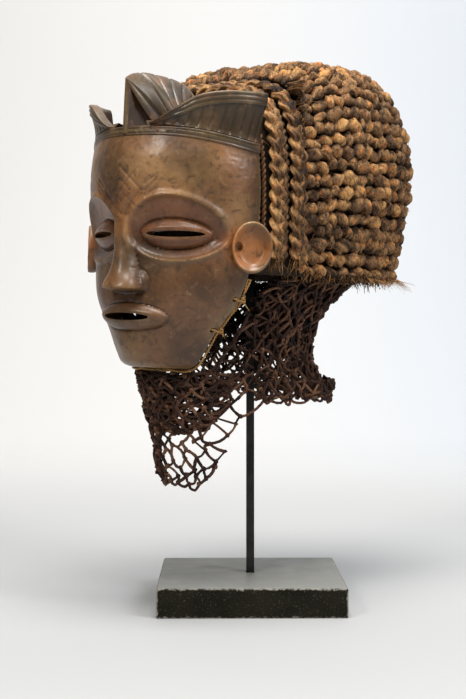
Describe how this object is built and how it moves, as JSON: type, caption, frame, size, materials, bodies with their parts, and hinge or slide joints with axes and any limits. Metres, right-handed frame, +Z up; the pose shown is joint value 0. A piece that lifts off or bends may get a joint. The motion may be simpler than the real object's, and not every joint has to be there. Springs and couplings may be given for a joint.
{
  "type": "chokwe mwana pwo mask",
  "caption": "Mwana pwo dance mask of the Chokwe on a rod stand: carved wooden face, three-lobed crest, knotted fibre wig, plaits and a knotted neck net.",
  "frame": {"origin": "middle of the underside of the square block", "axes": "+Z up the rod, +X to the right of the block seen from its front, the block's front faces -Y; the head is turned 40 degrees to its own right about the rod"},
  "size_m": [0.288, 0.2988, 0.4771],
  "materials": {
    "wood": "red-brown carved wood with a hand-worn sheen, greyer on the crest",
    "wig_fibre": "dark twisted plant fibre with golden strands among it",
    "plait_fibre": "dull straw-coloured plaited fibre",
    "net_fibre": "dark brown knotted twine",
    "cord_fibre": "golden twisted cord",
    "stand_block": "black paint, greyed on top and worn pale along the edges",
    "stand_steel": "matte black"
  },
  "bodies": {
    "root": {"carved_mask": "wood", "wig_right": "wig_fibre", "wig_left": "wig_fibre", "wig_band": "wig_fibre", "inner_plait": "plait_fibre", "outer_plait": "plait_fibre", "front_edge_cord": "plait_fibre", "back_edge_cord": "plait_fibre", "divider_cord": "plait_fibre", "lashing_cord": "cord_fibre", "neck_net_1": "net_fibre", "neck_net_2": "net_fibre", "neck_net_3": "net_fibre", "neck_net_4": "net_fibre", "stand_base": "stand_block", "stand_rod": "stand_steel"}
  },
  "joints": []
}
